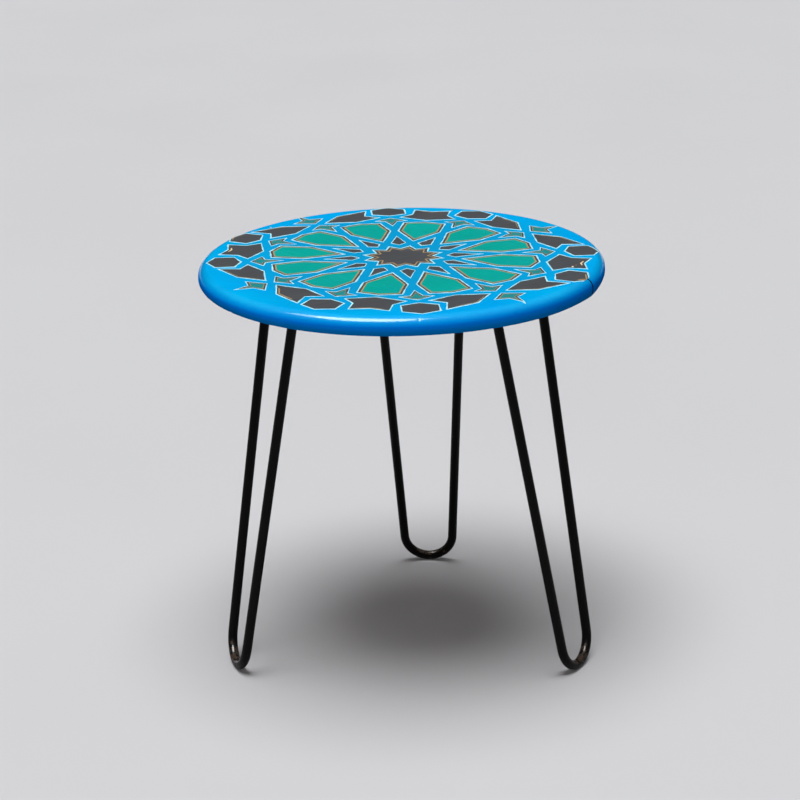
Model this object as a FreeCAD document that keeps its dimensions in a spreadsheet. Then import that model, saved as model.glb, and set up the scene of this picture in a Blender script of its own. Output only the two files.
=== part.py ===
import FreeCAD, Part
import math
import os
import Sketcher

# A round side table on three hairpin legs: a painted wooden top, and under it
# three bent steel rods, each welded to a plate that is screwed to the top.
# The origin is on the floor under the centre of the top, with +Z up.
# Lengths are in millimetres and angles in degrees.

SIZES = {
    "table_height": 457.0,
    "top_diameter": 450.0,
    "top_thickness": 21.0,
    "edge_flat": 1.0,
    "upper_round": 12.0,
    "rod_diameter": 10.8,
    "prong_spacing": 102.0,
    "bend_radius": 30.0,
    "plate_end_margin": 10.0,
    "plate_width": 46.0,
    "plate_thickness": 3.0,
    "plate_corner": 6.0,
    "hole_from_prong": 21.0,
    "hole_from_edge": 10.0,
    "hole_clearance": 0.5,
    "screw_shank": 3.8,
    "screw_length": 16.0,
    "screw_tip": 4.0,
    "screw_head": 8.0,
    "screw_head_height": 2.6,
    "screw_head_rim": 0.9,
    "pilot_clearance": 0.15,
    "pilot_spare_depth": 1.5,
    "weld_size": 4.0,
    "weld_lip": 1.0,
    "left_leg_angle": 203.4,
    "left_leg_inset": 82.0,
    "left_leg_twist": -4.8,
    "left_leg_splay": 9.4,
    "back_leg_angle": 81.7,
    "back_leg_inset": 84.0,
    "back_leg_twist": 3.5,
    "back_leg_splay": 9.5,
    "right_leg_angle": 333.0,
    "right_leg_inset": 86.0,
    "right_leg_twist": -4.6,
    "right_leg_splay": 10.1,
}
LEG_SIDES = ("left", "back", "right")
BOTH_WAYS = range(-1, 2, 2)

UPWARD = FreeCAD.Vector(0, 0, 1)
OUTWARD_LEAN = FreeCAD.Vector(-1, 0, 0)

# The numbers by which a sketch knows the points of a line or arc, and its own axes.
LINE_START, LINE_END, CENTRE = range(1, 4)
SKETCH_X_AXIS, SKETCH_Y_AXIS = range(-1, -3, -1)
ORIGIN_POINT = (SKETCH_X_AXIS, LINE_START)

doc = FreeCAD.newDocument("hairpin_side_table")
sheet = doc.addObject("Spreadsheet::Sheet", "sizes")
for row, (alias, size) in enumerate(SIZES.items(), start=1):
    sheet.set(f"A{row}", alias)
    sheet.set(f"B{row}", str(size))
    sheet.setAlias(f"B{row}", alias)
doc.recompute()

UNDERSIDE = "(sizes.table_height - sizes.top_thickness)"
PLATE_BOTTOM = f"({UNDERSIDE} - sizes.plate_thickness)"
TOP_RADIUS = "(sizes.top_diameter / 2)"
LOWER_ROUND = "(sizes.top_thickness - sizes.edge_flat - sizes.upper_round)"
ROD_RADIUS = "(sizes.rod_diameter / 2)"
HALF_SPACING = "(sizes.prong_spacing / 2)"
HOLE_ALONG = f"({HALF_SPACING} - sizes.hole_from_prong)"
HOLE_ACROSS = "(sizes.plate_width / 2 - sizes.hole_from_edge)"
SCREW_RADIUS = "(sizes.screw_shank / 2)"
SCREW_HEAD_RADIUS = "(sizes.screw_head / 2)"
PILOT_DEPTH = "(sizes.screw_length - sizes.plate_thickness + sizes.pilot_spare_depth)"


def value(expression):
    """The number that an expression on the sheet gives now."""
    return float(sheet.evalExpression(expression))


def bind(thing, expressions):
    """Ties properties of a document object to expressions on the sheet."""
    for path, expression in expressions.items():
        thing.setExpression(path, expression)


def leg_turn(side):
    """Direction of the line through a leg's two prongs, seen from above."""
    return f"(sizes.{side}_leg_angle + 90 + sizes.{side}_leg_twist)"


def on_leg(side, along="0", across="0"):
    """Plan position of a point given along and across a leg's plate."""
    radius = f"({TOP_RADIUS} - sizes.{side}_leg_inset)"
    angle = f"sizes.{side}_leg_angle"
    turn = leg_turn(side)
    return (
        f"{radius} * cos({angle}) + {along} * cos({turn}) - {across} * sin({turn})",
        f"{radius} * sin({angle}) + {along} * sin({turn}) + {across} * cos({turn})",
    )


def place(thing, side, height, along="0", across="0", prefix="Placement"):
    """Puts an object, or a sketch's offset, at a point of a leg's plate and turns it with the leg."""
    setattr(thing, prefix, FreeCAD.Placement(FreeCAD.Vector(), FreeCAD.Rotation(UPWARD, 1)))
    x, y = on_leg(side, along, across)
    bind(thing, {
        f"{prefix}.Base.x": x,
        f"{prefix}.Base.y": y,
        f"{prefix}.Base.z": height,
        f"{prefix}.Rotation.Angle": leg_turn(side),
    })


def new_body(label):
    body = doc.addObject("PartDesign::Body", label)
    body.Label = label
    return body


def origin_plane(body, role):
    return next(feature for feature in body.Origin.OriginFeatures if feature.Role == role)


def new_sketch(body, name, role="XY_Plane"):
    sketch = body.newObject("Sketcher::SketchObject", name)
    sketch.AttachmentSupport = (origin_plane(body, role), [""])
    sketch.MapMode = "FlatFace"
    return sketch


def rule(sketch, kind, *places):
    sketch.addConstraint(Sketcher.Constraint(kind, *places))


def dimension(sketch, name, kind, places, expression):
    """Adds a named dimension to a sketch and ties it to the sheet."""
    index = sketch.addConstraint(Sketcher.Constraint(kind, *places, value(expression)))
    sketch.renameConstraint(index, name)
    sketch.setExpression(f"Constraints.{name}", expression)


def point(x, y):
    return FreeCAD.Vector(x, y, 0)


def line(sketch, start, end, construction=False):
    return sketch.addGeometry(Part.LineSegment(point(*start), point(*end)), construction)


def arc(sketch, centre, radius, first, last):
    """Adds an arc that runs anticlockwise between two angles in degrees."""
    circle = Part.Circle(point(*centre), UPWARD, radius)
    return sketch.addGeometry(Part.ArcOfCircle(circle, math.radians(first), math.radians(last)), False)


def hole_circles(sketch, radius):
    """Draws the four screw positions of one plate."""
    for along in BOTH_WAYS:
        for across in BOTH_WAYS:
            centre = (along * value(HOLE_ALONG), across * value(HOLE_ACROSS))
            circle = sketch.addGeometry(Part.Circle(point(*centre), UPWARD, value(radius)), False)
            ends_x = [*ORIGIN_POINT, circle, CENTRE] if along > 0 else [circle, CENTRE, *ORIGIN_POINT]
            ends_y = [*ORIGIN_POINT, circle, CENTRE] if across > 0 else [circle, CENTRE, *ORIGIN_POINT]
            dimension(sketch, f"along_{circle}", "DistanceX", ends_x, HOLE_ALONG)
            dimension(sketch, f"across_{circle}", "DistanceY", ends_y, HOLE_ACROSS)
            dimension(sketch, f"radius_{circle}", "Radius", [circle], radius)


def make_tabletop():
    """The round top, turned with a bullnose edge and drilled for the screws from below."""
    body = new_body("tabletop")
    profile = new_sketch(body, "top_profile", "XZ_Plane")
    radius, below, above = value(TOP_RADIUS), value(LOWER_ROUND), value("sizes.upper_round")
    low, high = value(UNDERSIDE), value("sizes.table_height")
    bottom = line(profile, (0, low), (radius - below, low))
    lower_round = arc(profile, (radius - below, low + below), below, -90, 0)
    band = line(profile, (radius, low + below), (radius, high - above))
    upper_round = arc(profile, (radius - above, high - above), above, 0, 90)
    face = line(profile, (radius - above, high), (0, high))
    axis = line(profile, (0, high), (0, low))
    outline = (bottom, lower_round, band, upper_round, face)
    for first, second in zip(outline, outline[1:]):
        rule(profile, "Tangent", first, LINE_END, second, LINE_START)
    rule(profile, "Coincident", face, LINE_END, axis, LINE_START)
    rule(profile, "Coincident", axis, LINE_END, bottom, LINE_START)
    rule(profile, "PointOnObject", bottom, LINE_START, SKETCH_Y_AXIS)
    rule(profile, "PointOnObject", face, LINE_END, SKETCH_Y_AXIS)
    rule(profile, "Horizontal", bottom)
    rule(profile, "Horizontal", face)
    rule(profile, "Vertical", band)
    dimension(profile, "underside", "DistanceY", [*ORIGIN_POINT, bottom, LINE_START], UNDERSIDE)
    dimension(profile, "thickness", "DistanceY", [bottom, LINE_START, face, LINE_END], "sizes.top_thickness")
    dimension(profile, "rim", "DistanceX", [*ORIGIN_POINT, band, LINE_START], TOP_RADIUS)
    dimension(profile, "lower_rounding", "Radius", [lower_round], LOWER_ROUND)
    dimension(profile, "upper_rounding", "Radius", [upper_round], "sizes.upper_round")
    turning = body.newObject("PartDesign::Revolution", "top_turning")
    turning.Profile = profile
    turning.ReferenceAxis = (profile, ["V_Axis"])
    for side in LEG_SIDES:
        marks = new_sketch(body, f"pilot_marks_{side}")
        place(marks, side, UNDERSIDE, prefix="AttachmentOffset")
        hole_circles(marks, f"({SCREW_RADIUS} + sizes.pilot_clearance)")
        pilots = body.newObject("PartDesign::Pocket", f"pilot_holes_{side}")
        pilots.Profile = marks
        pilots.Reversed = True
        pilots.setExpression("Length", PILOT_DEPTH)
    return body


def make_rod(side):
    """One rod bent to a hairpin: two prongs that close in on a U-bend, cut level under the plate."""
    body = new_body(f"hairpin_rod_{side}")
    place(body, side, PLATE_BOTTOM)
    splay = f"sizes.{side}_leg_splay"
    bend_depth = f"(({PLATE_BOTTOM} - {ROD_RADIUS}) / cos({splay}) - sizes.bend_radius)"
    half, bend, depth = value(HALF_SPACING), value("sizes.bend_radius"), value(bend_depth)
    spare = value("sizes.rod_diameter")
    reach = "sizes.prong_spacing"
    path = new_sketch(body, f"rod_path_{side}", "XZ_Plane")
    path.AttachmentOffset = FreeCAD.Placement(FreeCAD.Vector(), FreeCAD.Rotation(OUTWARD_LEAN, 1))
    path.setExpression("AttachmentOffset.Rotation.Angle", splay)
    left = line(path, (-half, spare), (-bend, -depth))
    foot = arc(path, (0, -depth), bend, 180, 360)
    right = line(path, (bend, -depth), (half, spare))
    rule(path, "Tangent", left, LINE_END, foot, LINE_START)
    rule(path, "Tangent", foot, LINE_END, right, LINE_START)
    rule(path, "PointOnObject", foot, CENTRE, SKETCH_Y_AXIS)
    rule(path, "Symmetric", left, LINE_START, right, LINE_END, SKETCH_Y_AXIS)
    weld_point = path.addGeometry(Part.Point(point(half, 0)), True)
    rule(path, "PointOnObject", weld_point, LINE_START, SKETCH_X_AXIS)
    rule(path, "PointOnObject", weld_point, LINE_START, right)
    dimension(path, "half_spacing", "DistanceX", [*ORIGIN_POINT, weld_point, LINE_START], HALF_SPACING)
    dimension(path, "bend_depth", "DistanceY", [foot, CENTRE, *ORIGIN_POINT], bend_depth)
    dimension(path, "bend", "Radius", [foot], "sizes.bend_radius")
    dimension(path, "spare", "DistanceY", [*ORIGIN_POINT, right, LINE_END], "sizes.rod_diameter")
    doc.recompute()
    section = body.newObject("Sketcher::SketchObject", f"rod_section_{side}")
    section.AttachmentSupport = (path, ["Edge1"])
    section.MapMode = "NormalToEdge"
    circle = section.addGeometry(Part.Circle(point(0, 0), UPWARD, value(ROD_RADIUS)), False)
    rule(section, "Coincident", circle, CENTRE, *ORIGIN_POINT)
    dimension(section, "rod", "Radius", [circle], ROD_RADIUS)
    bar = body.newObject("PartDesign::AdditivePipe", f"bent_bar_{side}")
    bar.Profile = section
    bar.Spine = (path, ["Edge1", "Edge2", "Edge3"])
    trim_mark = new_sketch(body, f"trim_mark_{side}")
    circle = trim_mark.addGeometry(Part.Circle(point(0, 0), UPWARD, value(reach)), False)
    rule(trim_mark, "Coincident", circle, CENTRE, *ORIGIN_POINT)
    dimension(trim_mark, "reach", "Radius", [circle], reach)
    trim = body.newObject("PartDesign::Pocket", f"level_cut_{side}")
    trim.Profile = trim_mark
    trim.Type = "ThroughAll"
    trim.Reversed = True
    return body


def make_plate(side):
    """The steel plate that carries one rod: rounded corners and four screw holes."""
    body = new_body(f"mounting_plate_{side}")
    place(body, side, PLATE_BOTTOM)
    half_length = f"({HALF_SPACING} + {ROD_RADIUS} + sizes.plate_end_margin)"
    half_width = "(sizes.plate_width / 2)"
    end, edge, half_spacing = value(half_length), value(half_width), value(HALF_SPACING)
    outline = new_sketch(body, f"plate_outline_{side}")
    corners = [(-end, -edge), (end, -edge), (end, edge), (-end, edge)]
    sides = [line(outline, corners[i], corners[(i + 1) % 4]) for i in range(4)]
    for first, second in zip(sides, sides[1:] + sides[:1]):
        rule(outline, "Coincident", first, LINE_END, second, LINE_START)
    for direction, side_line in zip(("Horizontal", "Vertical") * 2, sides):
        rule(outline, direction, side_line)
    rule(outline, "Symmetric", sides[0], LINE_START, sides[2], LINE_START, *ORIGIN_POINT)
    dimension(outline, "half_length", "DistanceX", [*ORIGIN_POINT, sides[1], LINE_START], half_length)
    dimension(outline, "half_width", "DistanceY", [*ORIGIN_POINT, sides[2], LINE_START], half_width)
    hole_circles(outline, f"({SCREW_RADIUS} + sizes.hole_clearance)")
    slab = body.newObject("PartDesign::Pad", f"plate_slab_{side}")
    slab.Profile = outline
    slab.setExpression("Length", "sizes.plate_thickness")
    doc.recompute()
    corner_edges = [
        f"Edge{index}" for index, slab_edge in enumerate(slab.Shape.Edges, start=1)
        if slab_edge.BoundBox.ZLength > 0 and abs(slab_edge.CenterOfMass.x) > half_spacing
    ]
    rounding = body.newObject("PartDesign::Fillet", f"plate_rounding_{side}")
    rounding.Base = (slab, corner_edges)
    rounding.setExpression("Radius", "sizes.plate_corner")
    return body


def make_weld_beads(side, rod):
    """Two fillet welds, each a collar under the plate that the rod passes through."""
    beads = []
    for end in BOTH_WAYS:
        name = f"{side}_{'first' if end > 0 else 'second'}"
        collar = doc.addObject("Part::Cone", f"weld_collar_{name}")
        bind(collar, {
            "Radius1": f"{ROD_RADIUS} + sizes.weld_lip",
            "Radius2": f"{ROD_RADIUS} + sizes.weld_size",
            "Height": "sizes.weld_size",
        })
        place(collar, side, f"{PLATE_BOTTOM} - sizes.weld_size", along=f"{end} * {HALF_SPACING}")
        bead = doc.addObject("Part::Cut", f"weld_bead_{name}")
        bead.Base = collar
        bead.Tool = rod
        beads.append(bead)
    group = doc.addObject("Part::Compound", f"weld_beads_{side}")
    group.Label = f"weld_beads_{side}"
    group.Links = beads
    return group


def make_screw_form():
    """One pan-head wood screw standing at the origin, its head under the plate's lower face."""
    body = new_body("wood_screw_form")
    profile = new_sketch(body, "screw_profile", "XZ_Plane")
    head = value(SCREW_HEAD_RADIUS)
    rim = value("sizes.screw_head_rim")
    dome = value("sizes.screw_head_height")
    shank = value(SCREW_RADIUS)
    length = value("sizes.screw_length")
    tip = value("sizes.screw_tip")
    axis = line(profile, (0, length), (0, -dome))
    rim_side = line(profile, (head, -rim), (head, 0))
    seat = line(profile, (head, 0), (shank, 0))
    side = line(profile, (shank, 0), (shank, length - tip))
    cone = line(profile, (shank, length - tip), (0, length))
    rise = dome - rim
    crown_radius = (head ** 2 + rise ** 2) / (2 * rise)
    crown_half_angle = math.degrees(math.asin(head / crown_radius))
    crown = arc(profile, (0, crown_radius - dome), crown_radius, -90, crown_half_angle - 90)
    rule(profile, "Coincident", axis, LINE_END, crown, LINE_START)
    rule(profile, "Coincident", crown, LINE_END, rim_side, LINE_START)
    for first, second in ((rim_side, seat), (seat, side), (side, cone), (cone, axis)):
        rule(profile, "Coincident", first, LINE_END, second, LINE_START)
    rule(profile, "PointOnObject", axis, LINE_START, SKETCH_Y_AXIS)
    rule(profile, "PointOnObject", crown, CENTRE, SKETCH_Y_AXIS)
    rule(profile, "Vertical", axis)
    rule(profile, "Vertical", rim_side)
    rule(profile, "Vertical", side)
    rule(profile, "PointOnObject", seat, LINE_START, SKETCH_X_AXIS)
    rule(profile, "PointOnObject", seat, LINE_END, SKETCH_X_AXIS)
    dimension(profile, "length", "DistanceY", [*ORIGIN_POINT, axis, LINE_START], "sizes.screw_length")
    dimension(profile, "head_height", "DistanceY", [axis, LINE_END, *ORIGIN_POINT], "sizes.screw_head_height")
    dimension(profile, "head_rim", "DistanceY", [rim_side, LINE_START, *ORIGIN_POINT], "sizes.screw_head_rim")
    dimension(profile, "head", "DistanceX", [*ORIGIN_POINT, seat, LINE_START], SCREW_HEAD_RADIUS)
    dimension(profile, "shank", "DistanceX", [*ORIGIN_POINT, seat, LINE_END], SCREW_RADIUS)
    dimension(profile, "tip", "DistanceY", [side, LINE_END, axis, LINE_START], "sizes.screw_tip")
    turning = body.newObject("PartDesign::Revolution", "screw_turning")
    turning.Profile = profile
    turning.ReferenceAxis = (profile, ["V_Axis"])
    return body


def make_wood_screws(form):
    """All the screws, four to a plate."""
    copies = []
    for side in LEG_SIDES:
        for along in BOTH_WAYS:
            for across in BOTH_WAYS:
                copy = doc.addObject("App::Link", f"wood_screw_{side}_{len(copies)}")
                copy.LinkedObject = form
                place(copy, side, PLATE_BOTTOM, f"{along} * {HOLE_ALONG}", f"{across} * {HOLE_ACROSS}")
                copies.append(copy)
    group = doc.addObject("Part::Compound", "wood_screws")
    group.Label = "wood_screws"
    group.Links = copies
    return group


def make_table():
    pieces = [make_tabletop()]
    for side in LEG_SIDES:
        rod = make_rod(side)
        pieces += [rod, make_plate(side), make_weld_beads(side, rod)]
    pieces.append(make_wood_screws(make_screw_form()))
    doc.recompute()
    return pieces


def check(pieces):
    """Stops if an object failed, a cut removed nothing or a piece has no valid solid."""
    for thing in doc.Objects:
        if "Invalid" in thing.State or "Error" in thing.State:
            raise RuntimeError(f"{thing.Name} failed: {thing.State}")
        if thing.isDerivedFrom("PartDesign::Pocket") and thing.Shape.Volume >= thing.BaseFeature.Shape.Volume:
            raise RuntimeError(f"{thing.Name} cut nothing")
    for piece in pieces:
        if piece.Shape.isNull() or not piece.Shape.isValid() or not piece.Shape.Solids:
            raise RuntimeError(f"{piece.Label} has no valid solid")


def write(pieces):
    os.makedirs("parts", exist_ok=True)
    for piece in pieces:
        piece.Shape.exportStep(f"parts/{piece.Label}.step")


table = make_table()
check(table)
write(table)
for piece in table:
    print(f"{piece.Label}: {len(piece.Shape.Solids)} solids, {piece.Shape.Volume:.0f} cubic millimetres")
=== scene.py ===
import math

import bmesh
import bpy
from mathutils import Matrix, Vector, noise
from mathutils.geometry import delaunay_2d_cdt


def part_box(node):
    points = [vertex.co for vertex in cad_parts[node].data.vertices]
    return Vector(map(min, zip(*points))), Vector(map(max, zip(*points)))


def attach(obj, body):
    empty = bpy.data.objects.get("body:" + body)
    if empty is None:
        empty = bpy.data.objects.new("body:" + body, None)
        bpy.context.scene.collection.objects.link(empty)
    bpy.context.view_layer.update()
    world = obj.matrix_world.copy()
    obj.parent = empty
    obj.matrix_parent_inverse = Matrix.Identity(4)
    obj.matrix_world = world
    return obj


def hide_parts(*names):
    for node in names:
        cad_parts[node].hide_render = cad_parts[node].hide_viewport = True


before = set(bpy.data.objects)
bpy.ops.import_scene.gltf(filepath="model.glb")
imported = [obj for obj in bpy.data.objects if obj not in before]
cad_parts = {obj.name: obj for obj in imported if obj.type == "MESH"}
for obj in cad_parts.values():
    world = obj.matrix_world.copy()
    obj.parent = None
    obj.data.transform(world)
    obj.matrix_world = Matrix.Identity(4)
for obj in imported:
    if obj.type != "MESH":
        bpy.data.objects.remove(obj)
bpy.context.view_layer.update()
scene = bpy.context.scene

# Every run draws the same unevenness
NOISE_SEED = 12
noise.seed_set(NOISE_SEED)

# A round side table on three hairpin legs, its top painted with a twelve-fold star.
# Everything is in metres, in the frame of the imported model; the painting is drawn in millimetres.

MM = 0.001

# Sizes of the board
board_low, board_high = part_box("tabletop")
TOP_HEIGHT = board_high.z
UNDERSIDE = board_low.z
TOP_RADIUS = (board_high.x - board_low.x) / 2
DRAWN_RADIUS = 225 * MM
UPPER_ROUND = 12 * MM
LOWER_ROUND = 8 * MM
FLAT_RADIUS = TOP_RADIUS - UPPER_ROUND

# The glued joint that has opened at the right of the rim, and the width of the boards beside it
BOARD_JOINT = -95 * MM
BOARD_WIDTH = 96 * MM

# Sizes of the legs and their fixings
PLATE_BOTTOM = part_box("mounting_plate_left")[0].z
ROD_RADIUS = 5.4 * MM
HALF_SPACING = 51 * MM
BEND_RADIUS = 30 * MM
PLATE_HALF_LENGTH = 66.4 * MM
PLATE_HALF_WIDTH = 23 * MM
PLATE_CORNER = 6 * MM
PLATE_BEVEL = 0.5 * MM
HOLE_ALONG = 30 * MM
HOLE_ACROSS = 13 * MM
HOLE_RADIUS = 2.4 * MM
WELD_SIZE = 4 * MM
SCREW_HEAD_RADIUS = 4 * MM
SCREW_HEAD_RIM = 0.9 * MM
SCREW_HEAD_HEIGHT = 2.6 * MM
LEGS = {
    "left": {"angle": 203.4, "inset": 82 * MM, "twist": -4.8, "splay": 9.4},
    "back": {"angle": 81.7, "inset": 84 * MM, "twist": 3.5, "splay": 9.5},
    "right": {"angle": 333.0, "inset": 86 * MM, "twist": -4.6, "splay": 10.1},
}
QUARTER_TURN = 90
BOTH_WAYS = (1, -1)
QUARTERS = ((1, 1), (-1, 1), (-1, -1), (1, -1))


# Nodes

# Sockets of a mix node that carry colours
MIX_FACTOR = 0
MIX_FIRST = 6
MIX_SECOND = 7
MIX_RESULT = 2

# Kinds of noise, by detail and roughness, and the span that most of a noise lies in
SMOOTH = (2.0, 0.5)
SOFT = (3.0, 0.5)
DRIFTING = (3.0, 0.55)
FINE = (3.0, 0.6)
STREAKY = (4.0, 0.6)
RINGED = (5.0, 0.55)
DUSTY = (5.0, 0.65)
SPOTTED = (6.0, 0.7)
NOISE_SPAN = (0.3, 0.7)


class Nodes:
    """The nodes of one finish, effect or world, with a short way to add each kind."""

    def __init__(self, tree):
        self.tree = tree

    def fit(self, node, values):
        """Sets a node's inputs: a socket is linked, and anything else is a fixed value."""
        for name, value in values.items():
            target = node.inputs[name]
            if isinstance(value, bpy.types.NodeSocket):
                self.tree.links.new(value, target)
            else:
                target.default_value = value
        return node

    def add(self, kind, values=None, **settings):
        """A new node with its settings and inputs."""
        node = self.tree.nodes.new(kind)
        for name, value in settings.items():
            setattr(node, name, value)
        return self.fit(node, values or {})

    def put_out(self, value):
        """Ends a shared effect with what it puts out."""
        self.add("NodeGroupOutput", {0: value})
        return self.tree

    def effect(self, group, values):
        """What a shared effect puts out."""
        return self.add("ShaderNodeGroup", values, node_tree=group).outputs[0]

    def math(self, operation, *values):
        return self.add("ShaderNodeMath", dict(enumerate(values)), operation=operation).outputs[0]

    def vector_math(self, operation, values, output=0):
        return self.add("ShaderNodeVectorMath", values, operation=operation).outputs[output]

    def map_range(self, value, low, high, to_low=0.0, to_high=1.0):
        """A value carried from one span to another, and held at its ends."""
        return self.add("ShaderNodeMapRange", {
            "Value": value,
            "From Min": low,
            "From Max": high,
            "To Min": to_low,
            "To Max": to_high,
        }).outputs["Result"]

    def blend(self, factor, first, second):
        """The first colour, giving way to the second as the factor grows."""
        values = {MIX_FACTOR: factor, MIX_FIRST: first, MIX_SECOND: second}
        return self.add("ShaderNodeMix", values, data_type="RGBA").outputs[MIX_RESULT]

    def noise(self, vector, kind):
        detail, roughness = kind
        return self.add("ShaderNodeTexNoise", {
            "Vector": vector,
            "Scale": 1.0,
            "Detail": detail,
            "Roughness": roughness,
        }).outputs[0]

    def place(self):
        return self.add("ShaderNodeTexCoord").outputs["Object"]

    def along(self, axis, vector):
        return self.add("ShaderNodeSeparateXYZ", {0: vector}).outputs[axis]

    def upward(self):
        """How far the surface faces up, from 1 on top to -1 beneath."""
        return self.along("Z", self.add("ShaderNodeNewGeometry").outputs["Normal"])

    def reach(self):
        """How far a place lies from the upright through the middle of the table."""
        flat = self.vector_math("MULTIPLY", {0: self.place(), 1: (1.0, 1.0, 0.0)})
        return self.vector_math("LENGTH", {0: flat}, "Value")

    def shrink(self, vector, size):
        """A place measured in steps of a size."""
        return self.vector_math("SCALE", {0: vector, "Scale": self.math("DIVIDE", 1.0, size)})

    def patches(self, size, kind):
        """Noise in patches of a size."""
        return self.noise(self.shrink(self.place(), size), kind)

    def stretch(self, vector, turn, length, width):
        """A place turned about the upright and measured in steps longer one way than the other."""
        values = {"Vector": vector, "Angle": turn}
        turned = self.add("ShaderNodeVectorRotate", values, rotation_type="Z_AXIS")
        steps = self.add("ShaderNodeCombineXYZ", {"X": length, "Y": width, "Z": width})
        return self.vector_math("DIVIDE", {0: turned.outputs[0], 1: steps.outputs[0]})

    def bump(self, height, strength, distance):
        return self.add("ShaderNodeBump", {
            "Strength": strength,
            "Distance": distance,
            "Height": height,
        }).outputs["Normal"]


# Effects that several finishes share

WARMTH_APART = (7.3, 2.1, 5.9)
WARMTH_SPAN = (0.492, 0.508)
SCUFF_THINNESS = 55.0
SCUFF_TURNS = (0.55, -0.95)
SCUFF_SPAN = (0.66, 0.72)
SMEAR_SPAN = (0.52, 0.75)
SMEAR_MOST = 0.6
DUST_LIES = (0.25, 1.0)
DUST_SPAN = (0.35, 0.75)
DUST_LEAST = 0.15
VARNISH_UNEVEN = 0.3
VARNISH_THINS_OVER = 0.3
RUBBED_FROM = 0.78
RUBBED_GROWS = -0.5
RUBBED_EDGE = (-0.02, 0.05)


def socket_kind(label):
    return "NodeSocketColor" if label == "Colour" else "NodeSocketFloat"


def new_group(name, inputs, output):
    """The nodes of a new shared effect, and what it is given."""
    tree = bpy.data.node_groups.new(name, "ShaderNodeTree")
    for label in inputs:
        tree.interface.new_socket(label, in_out="INPUT", socket_type=socket_kind(label))
    tree.interface.new_socket(output, in_out="OUTPUT", socket_type=socket_kind(output))
    return Nodes(tree), tree.nodes.new("NodeGroupInput").outputs


def make_tone_drift():
    """Colour that grows a little lighter and darker, warmer and cooler, in patches."""
    nodes, given = new_group("tone_drift", ("Colour", "Spread", "Patch"), "Colour")
    place = nodes.shrink(nodes.place(), given["Patch"])
    swing = nodes.map_range(nodes.noise(place, DRIFTING), *NOISE_SPAN, -1.0, 1.0)
    elsewhere = nodes.vector_math("ADD", {0: place, 1: WARMTH_APART})
    shifted = nodes.add("ShaderNodeHueSaturation", {
        "Hue": nodes.map_range(nodes.noise(elsewhere, SMOOTH), *NOISE_SPAN, *WARMTH_SPAN),
        "Value": nodes.math("MULTIPLY_ADD", swing, given["Spread"], 1.0),
        "Color": given["Colour"],
    })
    return nodes.put_out(shifted.outputs[0])


def make_brush_strokes():
    """Streaks that a brush leaves, from 0 in a furrow to 1 on a ridge."""
    nodes, given = new_group("brush_strokes", ("Length", "Width", "Turn"), "Streak")
    place = nodes.stretch(nodes.place(), given["Turn"], given["Length"], given["Width"])
    return nodes.put_out(nodes.map_range(nodes.noise(place, STREAKY), *NOISE_SPAN))


def make_fine_scuffs():
    """Hairline scratches in two directions, and soft smears between them."""
    nodes, given = new_group("fine_scuffs", ("Length",), "Scuff")
    width = nodes.math("DIVIDE", given["Length"], SCUFF_THINNESS)
    marks = []
    for turn in SCUFF_TURNS:
        lines = nodes.noise(nodes.stretch(nodes.place(), turn, given["Length"], width), SMOOTH)
        marks.append(nodes.map_range(lines, *SCUFF_SPAN))
    smear = nodes.map_range(nodes.patches(given["Length"], STREAKY), *SMEAR_SPAN, 0.0, SMEAR_MOST)
    return nodes.put_out(nodes.math("MAXIMUM", nodes.math("MAXIMUM", *marks), smear))


def make_settled_dust():
    """Dust on what faces up, thicker in patches."""
    nodes, given = new_group("settled_dust", ("Amount", "Patch"), "Dust")
    lies = nodes.map_range(nodes.upward(), *DUST_LIES)
    thick = nodes.map_range(nodes.patches(given["Patch"], DUSTY), *DUST_SPAN, DUST_LEAST, 1.0)
    return nodes.put_out(nodes.math("MULTIPLY", nodes.math("MULTIPLY", lies, thick), given["Amount"]))


def make_brushed_varnish():
    """Varnish laid on from above: full on top, thinning down the rim and gone beneath it."""
    nodes, given = new_group("brushed_varnish", ("Thins", "Patch"), "Varnish")
    level = nodes.math("SUBTRACT", nodes.upward(), VARNISH_UNEVEN / 2)
    uneven = nodes.math("MULTIPLY_ADD", nodes.patches(given["Patch"], SOFT), VARNISH_UNEVEN, level)
    past = nodes.math("SUBTRACT", uneven, given["Thins"])
    return nodes.put_out(nodes.map_range(past, 0.0, VARNISH_THINS_OVER))


def make_rubbed_bare():
    """Where a coat has rubbed through: ragged spots that spread as the rubbing grows from 0 to 1."""
    nodes, given = new_group("rubbed_bare", ("Rubbing", "Spot"), "Bare")
    edge = nodes.math("MULTIPLY_ADD", given["Rubbing"], RUBBED_GROWS, RUBBED_FROM)
    over = nodes.math("SUBTRACT", nodes.patches(given["Spot"], SPOTTED), edge)
    return nodes.put_out(nodes.map_range(over, *RUBBED_EDGE))


TONE_DRIFT = make_tone_drift()
BRUSH_STROKES = make_brush_strokes()
FINE_SCUFFS = make_fine_scuffs()
SETTLED_DUST = make_settled_dust()
BRUSHED_VARNISH = make_brushed_varnish()
RUBBED_BARE = make_rubbed_bare()


# Finishes

# How a screen turns a channel into light
CHANNEL_MOST = 255
STRAIGHT_BELOW = 0.04045
STRAIGHT_SLOPE = 12.92
CURVE_SHIFT = 0.055
CURVE_POWER = 2.4


def tint(red, green, blue):
    """A colour as it looks on a screen, 0 to 255 a channel, made ready for a shader."""
    straight = []
    for channel in (red, green, blue):
        share = channel / CHANNEL_MOST
        if share <= STRAIGHT_BELOW:
            straight.append(share / STRAIGHT_SLOPE)
        else:
            straight.append(((share + CURVE_SHIFT) / (1 + CURVE_SHIFT)) ** CURVE_POWER)
    return (*straight, 1.0)


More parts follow.
